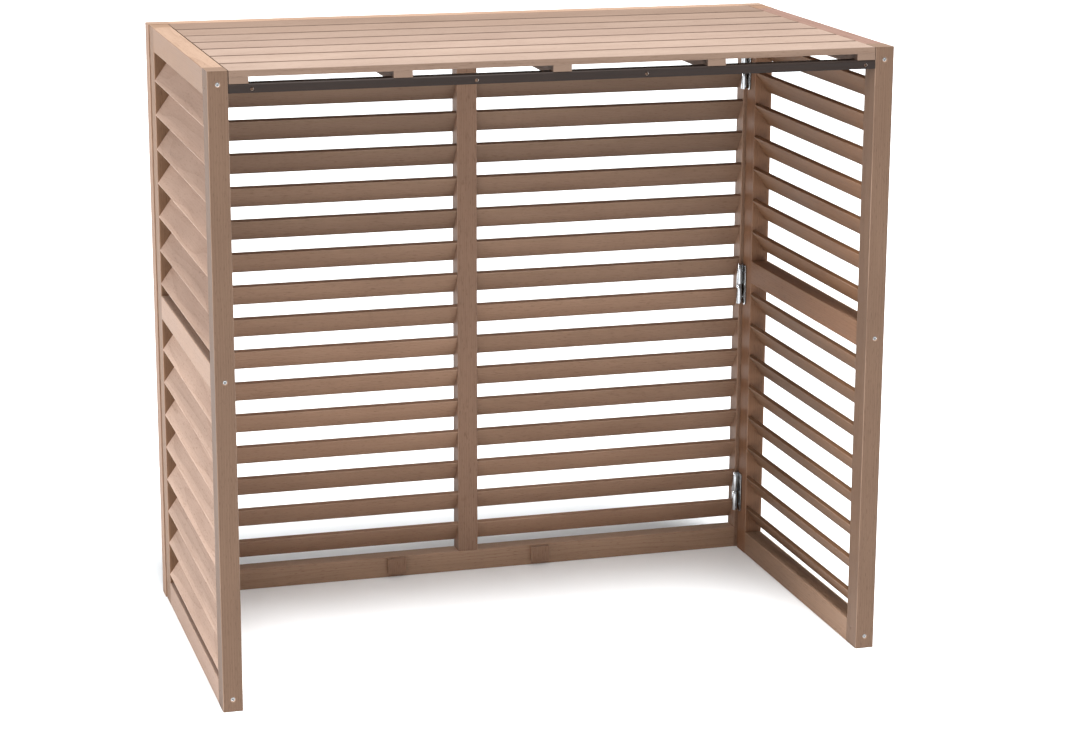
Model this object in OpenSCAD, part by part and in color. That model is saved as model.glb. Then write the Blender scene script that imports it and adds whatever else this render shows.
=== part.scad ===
// Slatted wooden cover that stands around an outdoor air conditioner.
// A louvred back panel carries two louvred side panels on hinges, a steel bar
// joins the side panels across the open side, and a slatted lid drops in on top.
// X runs to the right, Y from the open side to the back panel, Z up.
// The origin is on the ground, at the middle of the footprint.

/* [Overall] */
// Width over the two side panels
cover_w = 980; // [820:1:1300]
// Depth from the open side to the outer face of the back panel
cover_d = 543; // [430:1:800]
// Height of the panels
cover_h = 900; // [760:1:1200]
// Radius of the eased edges of frame boards and battens
ease_r = 1; // [0.5:0.1:3]

/* [Side panels] */
// Thickness of a side panel
side_t = 28; // [24:0.5:40]
// Width of the front and rear stiles of a side panel
side_stile_w = 36.5; // [32:0.5:60]
// Height of the three rails of a side panel
side_rail_h = 36; // [30:0.5:48]
// Louvre place, counted up from 0, that the middle rail takes
mid_rail_place = 8; // [5:1:10]

/* [Back panel] */
// Thickness of the back panel
back_t = 30; // [24:0.5:40]
// Width of the back panel's two outer stiles
back_stile_w = 34; // [30:0.5:60]
// Distance that the back panel stands out past each side panel's outer face
back_overhang = 1.5; // [0:0.1:4]
// Width of the back panel's middle stile
centre_stile_w = 32; // [28:0.5:60]
// Height of the back panel's two rails
back_rail_h = 33; // [30:0.5:44]
// Gap between a side panel and the back panel, where the hinge leaf lies
hinge_gap = 4; // [3:0.1:6]

/* [Louvres] */
// Width of a louvre board
louvre_w = 40; // [34:0.5:42]
// Thickness of a louvre board
louvre_t = 6.5; // [6:0.1:8]
// Slope of a louvre down towards the outside, from level
louvre_angle = 54.5; // [50:0.5:65]
// Height from one louvre to the next
louvre_pitch = 51.4; // [48:0.1:70]
// Height from the top of the bottom rail to the middle of the first louvre
louvre_start = 28.4; // [26:0.1:40]
// Radius of the eased edges of a louvre
louvre_ease_r = 1; // [0.5:0.1:2]

/* [Lid] */
// Number of slats
slat_count = 7; // [5:1:9]
// Thickness of a slat
slat_t = 9; // [8:0.5:15]
// Radius of the eased edges of a slat
slat_ease_r = 0.4; // [0.2:0.1:2]
// Gap between two slats
slat_gap = 6; // [3:0.5:12]
// Number of battens under the slats
batten_count = 5; // [3:1:6]
// Width of a batten
batten_w = 26.5; // [20:0.5:50]
// Thickness of a batten
batten_t = 16; // [11:0.5:20]
// Thickness left where a batten lies on the bar or on the ledge
batten_seat_t = 9; // [7:0.5:10]
// Clearance at the end of each of these rebates
rebate_play = 1; // [0.5:0.1:2]
// Clearance of the lid to the panels around it
lid_play = 1; // [0.5:0.1:3]
// Depth of the ledge under the lid's rear edge
ledge_depth = 18; // [12:0.5:30]
// Height of the ledge
ledge_h = 15; // [10:0.5:25]
// Number of screws that hold the ledge
ledge_screw_count = 4; // [2:1:6]
// Distance from an end of the ledge to its first screw
ledge_screw_inset = 115; // [40:1:200]
// Wood left over the tip of a screw that joins a batten and a slat
lid_screw_cover = 3.6; // [2:0.1:5]

/* [Support bar] */
// Depth of the bar's level leg
bar_depth = 20; // [16:0.5:30]
// Height of the bar's upright leg
bar_h = 12.5; // [11:0.5:20]
// Thickness of the steel
bar_t = 2; // [1.5:0.1:3]
// Thickness of the plates that close the bar's ends
bar_plate_t = 2.5; // [2:0.1:4]
// Distance between the two inner wall-fixing holes
inner_holes_apart = 243; // [150:1:320]
// Distance from the bar's left end to the left outer hole
left_hole_inset = 31.5; // [20:0.5:100]
// Distance from the bar's right end to the right outer hole
right_hole_inset = 14.5; // [12:0.5:100]
// Diameter of the holes in the bar
bar_hole_d = 5; // [3:0.1:6]

/* [Hinges] */
// Height of a hinge
hinge_h = 65; // [50:1:90]
// Distance from a panel's end to the middle of the outer hinges
hinge_inset = 99; // [70:1:150]
// Width of a leaf, from the hinge line
leaf_w = 15; // [14:0.5:24]
// Thickness of a leaf
leaf_t = 2.5; // [1:0.1:3]
// Diameter of the knuckle
knuckle_d = 9.6; // [8:0.1:12]
// Depth that the knuckle and a leaf's plate run into each other
knuckle_bite = 0.8; // [0.5:0.1:1]
// Distance from an end of a leaf to its first screw
leaf_screw_inset = 12.5; // [8:0.5:20]
// Diameter of the hinge pin
hinge_pin_d = 4.4; // [3:0.1:6]

/* [Spacer blocks] */
// Width of a block
block_w = 30; // [15:0.5:50]
// Height of a block
block_h = 25; // [15:0.5:30]
// Thickness of a block
block_t = 9; // [5:0.5:12]
// Distance between the middles of the two blocks
blocks_apart = 239; // [150:1:600]

/* [Joinery] */
// Length of a rail's tenon
rail_tenon_l = 22; // [12:0.5:24]
// Height of a rail's tenon
rail_tenon_h = 26; // [16:0.5:28]
// Thickness of a rail's tenon
rail_tenon_t = 10; // [6:0.5:14]
// Length of the middle stile's tenons
centre_tenon_l = 11; // [6:0.5:16]
// Width of the middle stile's tenons
centre_tenon_w = 20; // [12:0.5:24]
// Length of a louvre's stub tenon
louvre_tenon_l = 8; // [4:0.5:12]
// Width of a louvre's stub tenon
louvre_tenon_w = 24; // [14:0.5:28]
// Thickness of a louvre's stub tenon
louvre_tenon_t = 4.5; // [3:0.1:5]
// Clearance of a tenon in its mortise
joint_play = 0.2; // [0.1:0.05:0.4]
// Diameter of the pins that lock the side panels' corner tenons
pin_d = 2.5; // [2:0.1:4]
// Distance of a pin from the shoulder of its tenon
pin_from_shoulder = 15.4; // [6:0.1:18]
// Distance of a pin from the axis of the long screw in the same joint
pin_off_screw = 7; // [5:0.1:9]

/* [Screws] */
// Head diameter of the long frame screws
frame_screw_head_d = 7.6; // [6:0.1:9]
// Shank diameter of the long frame screws
frame_screw_d = 4; // [3:0.1:5]
// Length of the long frame screws
frame_screw_l = 70; // [55:1:90]
// Span of the cross recess in a long frame screw's head
recess_l = 4.6; // [3:0.1:6]
// Width of the recess's arms
recess_w = 1.1; // [0.6:0.1:2]
// Depth of the recess
recess_deep = 1.2; // [0.6:0.1:2]
// Head diameter of the small screws
small_screw_head_d = 5; // [4:0.1:6]
// Shank diameter of the small screws
small_screw_d = 2.6; // [2:0.1:3]
// Radial clearance of a screw in its hole
screw_play = 0.1; // [0.05:0.05:0.3]

/* [Hidden] */
SIDE_PARTS = [
    "front_stile", "rear_stile", "top_rail", "mid_rail", "bottom_rail",
    "upper_louvres", "lower_louvres", "frame_screws", "frame_pins",
    "hinge_fixed_leaves", "hinge_moving_leaves", "hinge_pins", "hinge_screws"
];
BACK_PARTS = [
    "back_left_stile", "back_right_stile", "back_centre_stile",
    "back_top_rail", "back_bottom_rail", "back_left_louvres", "back_right_louvres",
    "back_lid_ledge", "back_ledge_screws", "back_spacer_blocks"
];
$fn = 48;

wood = "#a58c79";
lid_wood = "#d3b9a5";
dark_paint = "#453c3a";
zinc = "#c9c9c4";

// Planes of the panels
side_out_x = cover_w / 2;
side_in_x = side_out_x - side_t;
side_mid_x = side_out_x - side_t / 2;
front_y = -cover_d / 2;
back_in_y = cover_d / 2 - back_t;
back_mid_y = cover_d / 2 - back_t / 2;
side_end_y = back_in_y - hinge_gap;

// Opening of a side panel between its stiles
side_open_end_y = side_end_y - side_stile_w;
side_open_l = side_open_end_y - side_stile_w - front_y;

// Bay of the back panel between its middle stile and an outer one
bay_in_x = centre_stile_w / 2;
bay_out_x = side_out_x + back_overhang - back_stile_w;
bay_l = bay_out_x - bay_in_x;

// Louvre places, counted up from the bottom rails
louvre_half_h = (louvre_w * sin(louvre_angle) + louvre_t * cos(louvre_angle)) / 2;
louvre_clear = 2;
function louvre_z(k) = side_rail_h + louvre_start + k * louvre_pitch;
function top_place(rail_h) =
    floor((cover_h - rail_h - louvre_half_h - louvre_clear - louvre_z(0)) / louvre_pitch);
back_places = [0:top_place(back_rail_h)];
lower_places = [0:mid_rail_place - 1];
upper_places = [mid_rail_place + 1:top_place(side_rail_h)];

// Middles of the rails
side_rail_z = [side_rail_h / 2, louvre_z(mid_rail_place), cover_h - side_rail_h / 2];
back_rail_z = [back_rail_h / 2, cover_h - back_rail_h / 2];

// Lid: slats lie on the battens, whose rebated ends stand on the bar and on the ledge
slat_z = cover_h - slat_t;
seat_z = slat_z - batten_seat_t;
batten_z = slat_z - batten_t;
lid_half_w = side_in_x - lid_play;
lid_l = back_in_y - lid_play - front_y;
slat_w = (lid_l - (slat_count - 1) * slat_gap) / slat_count;
lid_screw_l = batten_t + slat_t - lid_screw_cover;
all_slats = [1:slat_count];
all_battens = [1:batten_count];
function slat_y(i) = front_y + (i - 1) * (slat_w + slat_gap);
function batten_x(i) =
    batten_w / 2 - lid_half_w + (i - 1) * (2 * lid_half_w - batten_w) / (batten_count - 1);

// Ledge on the inner face of the back panel's top rail
ledge_screw_half_l = lid_half_w - ledge_screw_inset;
ledge_screw_step = 2 * ledge_screw_half_l / (ledge_screw_count - 1);
ledge_screw_x = [for (i = [0:ledge_screw_count - 1]) i * ledge_screw_step - ledge_screw_half_l];
ledge_screw_z = (seat_z + cover_h - back_rail_h) / 2;
ledge_screw_l = ledge_depth + back_t / 2;

// Support bar between the front stiles
bar_play = 0.5;
bar_half_l = side_in_x - bar_play;
bar_low_z = seat_z - bar_h;
bar_hole_x = [
    left_hole_inset - bar_half_l, -inner_holes_apart / 2,
    inner_holes_apart / 2, bar_half_l - right_hole_inset
];
bar_hole_z = bar_low_z + (bar_h - bar_t) / 2;
bar_screw_y = front_y + (bar_t + side_stile_w - rail_tenon_l) / 2;
bar_screw_z = bar_hole_z;
bar_screw_l = 20;

// Pins through the corner tenons of a side panel, off the axis of the long screws
pin_inset = side_stile_w - pin_from_shoulder;
pin_z = side_rail_h / 2 + pin_off_screw;

// Hinges: the knuckle stands proud of both leaves, which lie on the panels' faces
knuckle_r = knuckle_d / 2;
knuckle_gap = 0.4;
leaf_from_axis = knuckle_r - knuckle_bite;
hinge_x = side_in_x - leaf_t - leaf_from_axis;
hinge_y = back_in_y - leaf_t - leaf_from_axis;
hinge_z = [hinge_inset, cover_h / 2, cover_h - hinge_inset];
hinge_pin_play = 0.05;
leaf_screw_l = 8;
leaf_screw_at = (leaf_w + knuckle_r) / 2;
leaf_screw_z = [-1, 0, 1] * (hinge_h / 2 - leaf_screw_inset);

// The spacer blocks stand on the back panel's bottom rail
block_low_z = back_rail_h - block_h - 1;
block_ease_r = 1.5;

// Section of a board with eased edges
module eased_rect(w, h, r) {
    translate([r, 0]) square([w - 2 * r, h]);
    translate([0, r]) square([w, h - 2 * r]);
    for (x = [r, w - r], y = [r, h - r])
        translate([x, y]) circle(r);
}

// Board with its low corner at the origin, and its grain and eased edges along the named axis
module board(size, grain, r = ease_r) {
    if (grain == "x") {
        rotate([90, 0, 90]) linear_extrude(size.x) eased_rect(size.y, size.z, r);
    } else if (grain == "y") {
        translate([0, size.y, 0]) rotate([90, 0, 0])
            linear_extrude(size.y) eased_rect(size.x, size.z, r);
    } else {
        linear_extrude(size.z) eased_rect(size.x, size.y, r);
    }
}

// Core along X that passes through a board and ends in a tenon on each side;
// with play it is the space of both mortises
module core(len, tenon_l, thick, h, play) {
    translate([-tenon_l - play, -thick / 2 - play, -h / 2 - play])
        cube([len + 2 * (tenon_l + play), thick + 2 * play, h + 2 * play]);
}

// Rail along X between two uprights
module rail_core(len, play = 0) {
    core(len, rail_tenon_l, rail_tenon_t, rail_tenon_h, play);
}
module rail(len, thick, h) {
    translate([0, -thick / 2, -h / 2]) board([len, thick, h], "x");
    rail_core(len);
}

// Louvre along X between two uprights, sloping down towards +Y
module louvre_core(len, play = 0) {
    rotate([-louvre_angle, 0, 0]) core(len, louvre_tenon_l, louvre_tenon_w, louvre_tenon_t, play);
}
module louvre(len) {
    rotate([-louvre_angle, 0, 0]) translate([joint_play, -louvre_w / 2, -louvre_t / 2])
        board([len - 2 * joint_play, louvre_w, louvre_t], "x", louvre_ease_r);
    louvre_core(len);
}

// Countersunk screw along +Z, with the flat of its head at the origin; play widens it to a hole
module screw(head_d, shank_d, len, play = 0) {
    head_r = head_d / 2 + play;
    shank_r = shank_d / 2 + play;
    rotate_extrude() polygon([
        [0, -play], [head_r, -play], [head_r, 0], [shank_r, head_r - shank_r],
        [shank_r, len - shank_r], [0, len + play]
    ]);
}
module small_screw(len, play = 0) {
    screw(small_screw_head_d, small_screw_d, len, play);
}

// Long screw with a cross recess in its head
module frame_screw(play) {
    difference() {
        screw(frame_screw_head_d, frame_screw_d, frame_screw_l, play);
        if (play == 0)
            for (turn = [45, 135]) rotate([0, 0, turn])
                cube([recess_l, recess_w, 2 * recess_deep], center = true);
    }
}

// A place in the right side panel's opening, whose boards slope out to +X
module at_side_opening(z) {
    translate([side_mid_x, side_open_end_y, z]) rotate([0, 0, -90]) children();
}

// Spaces of all mortises in the side panel's stiles
module side_mortises() {
    for (z = side_rail_z) at_side_opening(z) rail_core(side_open_l, joint_play);
    for (k = lower_places) at_side_opening(louvre_z(k)) louvre_core(side_open_l, joint_play);
    for (k = upper_places) at_side_opening(louvre_z(k)) louvre_core(side_open_l, joint_play);
}

// Long screws through both stiles into the ends of the rails
module side_frame_screws(play = 0) {
    for (z = side_rail_z) {
        translate([side_mid_x, front_y, z]) rotate([-90, 0, 0]) frame_screw(play);
        translate([side_mid_x, side_end_y, z]) rotate([90, 0, 0]) frame_screw(play);
    }
}

// Pins through the whole thickness of the corner joints
module side_pins(play = 0) {
    for (y = [front_y + pin_inset, side_end_y - pin_inset], z = [pin_z, cover_h - pin_z])
        translate([side_in_x - play, y, z]) rotate([0, 90, 0])
            cylinder(d = pin_d + 2 * play, h = side_t + 2 * play);
}

// Screws of the moving leaves along +X and of the fixed leaves along +Y
module moving_leaf_screws(play = 0) {
    for (z = hinge_z, dz = leaf_screw_z)
        translate([side_in_x - leaf_t, hinge_y - leaf_screw_at, z + dz]) rotate([0, 90, 0])
            small_screw(leaf_screw_l, play);
}
module fixed_leaf_screws(play = 0) {
    for (z = hinge_z, dz = leaf_screw_z)
        translate([hinge_x + leaf_screw_at, back_in_y - leaf_t, z + dz]) rotate([-90, 0, 0])
            small_screw(leaf_screw_l, play);
}

// Screw through the bar's right end plate into the front stile
module bar_end_screw(play = 0) {
    translate([bar_half_l - bar_plate_t, bar_screw_y, bar_screw_z]) rotate([0, 90, 0])
        small_screw(bar_screw_l, play);
}

// Right side panel
module side_front_stile() {
    color(wood) difference() {
        translate([side_in_x, front_y, 0]) board([side_t, side_stile_w, cover_h], "z");
        side_mortises();
        side_frame_screws(screw_play);
        side_pins(screw_play);
        bar_end_screw(screw_play);
    }
}
module side_rear_stile() {
    color(wood) difference() {
        translate([side_in_x, side_open_end_y, 0]) board([side_t, side_stile_w, cover_h], "z");
        side_mortises();
        side_frame_screws(screw_play);
        side_pins(screw_play);
        moving_leaf_screws(screw_play);
    }
}
module side_rail(z) {
    color(wood) difference() {
        at_side_opening(z) rail(side_open_l, side_t, side_rail_h);
        side_frame_screws(screw_play);
        side_pins(screw_play);
    }
}
module side_louvres(places) {
    color(wood) for (k = places) at_side_opening(louvre_z(k)) louvre(side_open_l);
}

// Hinge leaf along -Y from the hinge line, with its knuckle in the upper or the lower half
module hinge_leaf(upper) {
    half_h = hinge_h / 2;
    knuckle_h = half_h - knuckle_gap / 2;
    difference() {
        union() {
            translate([leaf_from_axis, -leaf_w, -half_h])
                cube([leaf_t, leaf_w - knuckle_r - knuckle_gap, hinge_h]);
            translate([0, 0, upper ? half_h - knuckle_h : -half_h]) {
                translate([leaf_from_axis, -leaf_w, 0]) cube([leaf_t, leaf_w, knuckle_h]);
                cylinder(r = knuckle_r, h = knuckle_h);
            }
        }
        translate([0, 0, -half_h - 1]) cylinder(d = hinge_pin_d + 2 * hinge_pin_play, h = hinge_h + 2);
        for (dz = leaf_screw_z) translate([leaf_from_axis, -leaf_screw_at, dz])
            rotate([0, 90, 0]) small_screw(leaf_screw_l, screw_play);
    }
}
module hinge_moving_leaves() {
    color(zinc) for (z = hinge_z) translate([hinge_x, hinge_y, z]) hinge_leaf(true);
}
module hinge_fixed_leaves() {
    color(zinc) for (z = hinge_z) translate([hinge_x, hinge_y, z]) rotate([0, 0, 90])
        hinge_leaf(false);
}
module hinge_pins() {
    color(zinc) for (z = hinge_z) translate([hinge_x, hinge_y, z - hinge_h / 2])
        cylinder(d = hinge_pin_d, h = hinge_h);
}
module hinge_screws() {
    color(zinc) {
        moving_leaf_screws();
        fixed_leaf_screws();
    }
}

// The right-hand part of this name; its mirror image is the left-hand one
module side_part(part) {
    if (part == "front_stile") side_front_stile();
    if (part == "rear_stile") side_rear_stile();
    if (part == "bottom_rail") side_rail(side_rail_z[0]);
    if (part == "mid_rail") side_rail(side_rail_z[1]);
    if (part == "top_rail") side_rail(side_rail_z[2]);
    if (part == "lower_louvres") side_louvres(lower_places);
    if (part == "upper_louvres") side_louvres(upper_places);
    if (part == "frame_screws") color(zinc) side_frame_screws();
    if (part == "frame_pins") color(zinc) side_pins();
    if (part == "hinge_moving_leaves") hinge_moving_leaves();
    if (part == "hinge_fixed_leaves") hinge_fixed_leaves();
    if (part == "hinge_pins") hinge_pins();
    if (part == "hinge_screws") hinge_screws();
}

// Back panel
module at_bay(z) {
    translate([bay_in_x, back_mid_y, z]) children();
}
module at_back_rail(z) {
    translate([-bay_out_x, back_mid_y, z]) children();
}
module centre_stile_core(play = 0) {
    translate([0, back_mid_y, back_rail_h]) rotate([0, -90, 0])
        core(cover_h - 2 * back_rail_h, centre_tenon_l, rail_tenon_t, centre_tenon_w, play);
}
module back_outer_stile() {
    color(wood) difference() {
        translate([bay_out_x, back_in_y, 0]) board([back_stile_w, back_t, cover_h], "z");
        for (z = back_rail_z) at_back_rail(z) rail_core(2 * bay_out_x, joint_play);
        for (k = back_places) at_bay(louvre_z(k)) louvre_core(bay_l, joint_play);
        fixed_leaf_screws(screw_play);
    }
}
module back_centre_stile() {
    color(wood) difference() {
        union() {
            translate([-bay_in_x, back_in_y, back_rail_h])
                board([centre_stile_w, back_t, cover_h - 2 * back_rail_h], "z");
            centre_stile_core();
        }
        for (k = back_places) {
            at_bay(louvre_z(k)) louvre_core(bay_l, joint_play);
            mirror([1, 0, 0]) at_bay(louvre_z(k)) louvre_core(bay_l, joint_play);
        }
    }
}
module back_rail(z) {
    color(wood) difference() {
        at_back_rail(z) rail(2 * bay_out_x, back_t, back_rail_h);
        centre_stile_core(joint_play);
        ledge_screws(screw_play);
    }
}
module back_louvres() {
    color(wood) for (k = back_places) at_bay(louvre_z(k)) louvre(bay_l);
}
module ledge_screws(play = 0) {
    for (x = ledge_screw_x) translate([x, back_in_y - ledge_depth, ledge_screw_z])
        rotate([-90, 0, 0]) small_screw(ledge_screw_l, play);
}
module back_lid_ledge() {
    color(wood) difference() {
        translate([-lid_half_w, back_in_y - ledge_depth, seat_z - ledge_h])
            board([2 * lid_half_w, ledge_depth, ledge_h], "x");
        ledge_screws(screw_play);
    }
}
module back_spacer_blocks() {
    color(wood) for (x = [-0.5, 0.5] * blocks_apart)
        translate([x - block_w / 2, back_in_y - block_t, block_low_z])
            board([block_w, block_t, block_h], "z", block_ease_r);
}

// Support bar: an angle with its level leg on top and a plate closing each end
module support_bar() {
    color(dark_paint) difference() {
        union() {
            translate([-bar_half_l, front_y, bar_low_z]) cube([2 * bar_half_l, bar_t, bar_h]);
            translate([-bar_half_l, front_y, seat_z - bar_t]) cube([2 * bar_half_l, bar_depth, bar_t]);
            for (x = [-bar_half_l, bar_half_l - bar_plate_t])
                translate([x, front_y, bar_low_z]) cube([bar_plate_t, bar_depth, bar_h]);
        }
        for (x = bar_hole_x) translate([x, front_y - 1, bar_hole_z]) rotate([-90, 0, 0])
            cylinder(d = bar_hole_d, h = bar_t + 2);
        for (side = [0, 1]) mirror([side, 0, 0]) bar_end_screw(screw_play);
    }
}
module support_bar_screws() {
    color(zinc) for (side = [0, 1]) mirror([side, 0, 0]) bar_end_screw();
}

// Lid, screwed together from below
module lid_screw_set(battens, slats, play = 0) {
    for (i = battens, j = slats)
        translate([batten_x(i), slat_y(j) + slat_w / 2, batten_z]) small_screw(lid_screw_l, play);
}
module lid_slat(i) {
    color(lid_wood) difference() {
        translate([-lid_half_w, slat_y(i), slat_z]) board([2 * lid_half_w, slat_w, slat_t], "x", slat_ease_r);
        lid_screw_set(all_battens, [i], screw_play);
    }
}
module batten_rebate(low_y, high_y) {
    translate([-batten_w, low_y, batten_z - 1]) cube([2 * batten_w, high_y - low_y, seat_z - batten_z + 1]);
}
module lid_batten(i) {
    color(lid_wood) difference() {
        translate([batten_x(i) - batten_w / 2, front_y, batten_z])
            board([batten_w, lid_l, batten_t], "y");
        translate([batten_x(i), 0, 0]) {
            batten_rebate(front_y - 1, front_y + bar_depth + rebate_play);
            batten_rebate(back_in_y - ledge_depth - rebate_play, back_in_y);
        }
        lid_screw_set([i], all_slats, screw_play);
    }
}
module lid_screws() {
    color(zinc) lid_screw_set(all_battens, all_slats);
}

mirror([1, 0, 0]) back_outer_stile();  // back_left_stile
back_outer_stile();  // back_right_stile
back_centre_stile();
back_rail(back_rail_z[1]);  // back_top_rail
back_rail(back_rail_z[0]);  // back_bottom_rail
mirror([1, 0, 0]) back_louvres();  // back_left_louvres
back_louvres();  // back_right_louvres
back_lid_ledge();
color(zinc) ledge_screws();  // back_ledge_screws
back_spacer_blocks();
for (part = SIDE_PARTS) {
    mirror([1, 0, 0]) side_part(part);
    side_part(part);
}
support_bar();
support_bar_screws();
lid_screws();
for (i = [1:slat_count])
    lid_slat(i);
for (i = [1:batten_count])
    lid_batten(i);
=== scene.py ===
"""Looks of a slatted wooden air conditioner cover, built around its packed CAD model."""
import math
import random

import bpy
from bpy.props import FloatProperty, FloatVectorProperty, PointerProperty
from mathutils import Matrix, Vector


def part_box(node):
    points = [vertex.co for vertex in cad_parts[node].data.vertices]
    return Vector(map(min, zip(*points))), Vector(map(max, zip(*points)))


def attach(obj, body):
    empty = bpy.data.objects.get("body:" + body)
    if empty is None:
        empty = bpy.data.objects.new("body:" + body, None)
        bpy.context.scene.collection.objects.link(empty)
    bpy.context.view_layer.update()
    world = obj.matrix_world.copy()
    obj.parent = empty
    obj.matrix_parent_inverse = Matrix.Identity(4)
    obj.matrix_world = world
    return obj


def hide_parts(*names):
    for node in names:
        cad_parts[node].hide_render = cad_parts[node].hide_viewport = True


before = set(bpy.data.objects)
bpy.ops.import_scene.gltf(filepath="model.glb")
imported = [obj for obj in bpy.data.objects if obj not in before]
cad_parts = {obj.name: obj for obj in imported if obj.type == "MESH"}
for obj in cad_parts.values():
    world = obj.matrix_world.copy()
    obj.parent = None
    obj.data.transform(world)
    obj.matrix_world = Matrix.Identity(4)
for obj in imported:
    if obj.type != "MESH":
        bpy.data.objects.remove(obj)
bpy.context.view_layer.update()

bl_info = {
    "name": "Air conditioner cover",
    "version": (1, 0, 0),
    "blender": (4, 5, 0),
    "location": "View3D > Sidebar > Cover",
    "description": "Dresses the CAD model of a slatted wooden air conditioner cover",
    "category": "Object",
}

MM = 0.001
# How far a cutting tool reaches past what it cuts
PAST = 1 * MM
# How far two places may differ and still count as the same
SAME = 0.1 * MM
# Play all round between a screw and its hole
PLAY = 0.1 * MM
# Places of the support bar's wall-fixing holes from the middle, left to right, as in the CAD model
HOLES_X = (-430 * MM, -121.5 * MM, 121.5 * MM, 447 * MM)


def linear(code):
    """Linear colour of an sRGB hex value."""
    parts = [int(code[i:i + 2], 16) / 255 for i in (1, 3, 5)]
    return tuple(p / 12.92 if p <= 0.04045 else ((p + 0.055) / 1.055) ** 2.4 for p in parts)


def length(name, description, value):
    """Property for a size, given in millimetres."""
    return FloatProperty(
        name=name, description=description, default=value * MM, min=0.0, unit="LENGTH", subtype="DISTANCE"
    )


def angle(name, description, degrees):
    """Property for an angle, given in degrees."""
    return FloatProperty(
        name=name, description=description, default=math.radians(degrees), subtype="ANGLE", unit="ROTATION"
    )


def share(name, description, value):
    """Property for a strength or a share, from nought up."""
    return FloatProperty(name=name, description=description, default=value, min=0.0)


def colour(name, description, code):
    """Property for a colour, given as sRGB hex."""
    return FloatVectorProperty(
        name=name, description=description, default=linear(code), min=0.0, max=1.0, size=3, subtype="COLOR"
    )


class CoverWood(bpy.types.PropertyGroup):
    """Stain and grain of the fir boards, and the light and shade painted on them."""
    stain_dark: colour("Dark stain", "Latewood lines and deep fibres under the stain", "#7b5f4e")
    stain_light: colour("Light stain", "Earlywood under the stain", "#b39682")
    worn: colour("Worn arris", "Wood that shows where the arrises are rubbed thin", "#ccb09c")
    end_grain: colour("End grain", "Sawn ends, which weather to one tone", "#877060")
    ring: length("Ring spacing", "Distance between two growth rings", 3.4)
    pith: length("Pith", "Least distance from a board's middle to the pith of its tree", 55.0)
    wander: length("Ring wander", "How far a growth ring bends off its circle", 12.0)
    wander_l: length("Wander length", "Length along the grain over which the rings bend", 350.0)
    wander_w: length("Wander width", "Width across the grain over which the rings bend", 40.0)
    fibre: length("Fibre width", "Width of a bundle of fibres", 1.2)
    fibre_l: length("Fibre length", "Length of a bundle of fibres", 90.0)
    fleck: length("Fleck width", "Width of a resin fleck", 1.3)
    fleck_l: length("Fleck length", "Length of a resin fleck", 11.0)
    cloud: length("Stain cloud", "Size of the patches in which the stain took unevenly", 45.0)
    relief: length("Relief", "Height of the raised grain", 0.15)
    # Painted shade along the gaps between the lid's slats, darkest at each slat's long edges
    gap_shade: length("Dirt line", "Width of the dirt along the long edges of the lid's slats", 2.2)
    gap_shade_core: length("Dirt core", "Width of the darkest dirt, at the very edge", 0.66)
    gap_shade_top: share("Dirt on top", "Share of the tone that dirt leaves on an upper face", 0.3)
    gap_shade_side: share("Dirt at the side", "Share of the tone that dirt leaves on an upright face", 0.8)
    # Painted shade that the lid casts on the upper back louvres
    shade_top: length("Shade top", "Height at which the back louvres are darkest", 860.0)
    shade_foot: length("Shade foot", "Height down to which the back louvres are darker", 350.0)
    shade: share("Shade", "Share of the tone that is left at the shade's top", 0.45)
    # Painted top light and sheen: the faces that look up are made paler and bluer
    top_light_tint: FloatVectorProperty(
        name="Bleach", description="How much paler the faces are that look up, in red, green and blue",
        size=3, default=(1.62, 1.83, 2.06),
    )
    louvre_first: length("First louvre", "Height of the lowest louvre's middle", 64.4)
    louvre_pitch: length("Louvre pitch", "Height from one louvre to the next", 51.4)
    louvre_slope: angle("Louvre slope", "Slope of a louvre from level", 54.5)


class CoverMetal(bpy.types.PropertyGroup):
    """Finishes of the metal parts."""
    zinc: colour("Zinc", "Bright zinc plate of hinges and screws", "#c3c5c8")
    # Painted dark reflection: the flat faces of the zinc plate are painted darker
    dark_reflection: colour("Dull zinc", "Plate that has gone dull on the flat faces", "#6a655f")
    coat: colour("Powder coat", "Dark coat of the support bar", "#241b17")
    bare: colour("Bare steel", "Steel that the drill laid bare at the bar's holes", "#c2beb8")
    bloom: length("Zinc bloom", "Size of the cloudy patches on the zinc plate", 6.0)
    peel: length("Orange peel", "Size of the dimples in the powder coat", 1.6)
    peel_deep: length("Peel depth", "Depth of the dimples in the powder coat", 0.08)
    patch: length("Coat patch", "Size of the duller patches in the powder coat", 40.0)
    marks: length("Drill marks", "Distance between the marks that the drill left", 0.5)


class CoverBar(bpy.types.PropertyGroup):
    """Sizes of the support bar."""
    steel: length("Steel", "Thickness of the steel", 2.0)
    plate: length("End plate", "Thickness of the plates that close the ends", 2.5)
    bend: length("Bend radius", "Outer radius of the bend between the two legs", 2.2)
    edge: length("Edge radius", "Radius of the coated edges", 0.35)
    hole: length("Hole", "Diameter of the wall-fixing holes", 5.0)
    rim: length("Rim", "Width of the bright chamfer round a hole", 0.7)


class CoverHinge(bpy.types.PropertyGroup):
    """Sizes of a hinge."""
    leaf: length("Leaf", "Thickness of a leaf", 2.5)
    knuckle: length("Knuckle", "Diameter of the rolled knuckle", 9.6)
    gap: length("Gap", "Gap between the two halves of the knuckle", 0.4)
    pin: length("Pin", "Diameter of the hinge pin", 4.4)
    dome: length("Pin dome", "Radius of the pin's rounded rims", 0.7)
    proud: length("Pin end", "How far the pin stands out of the knuckle at each end", 0.5)
    corner: length("Corner radius", "Radius of the leaf's free corners", 3.5)
    edge: length("Edge radius", "Radius of the stamped edges", 0.25)


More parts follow.
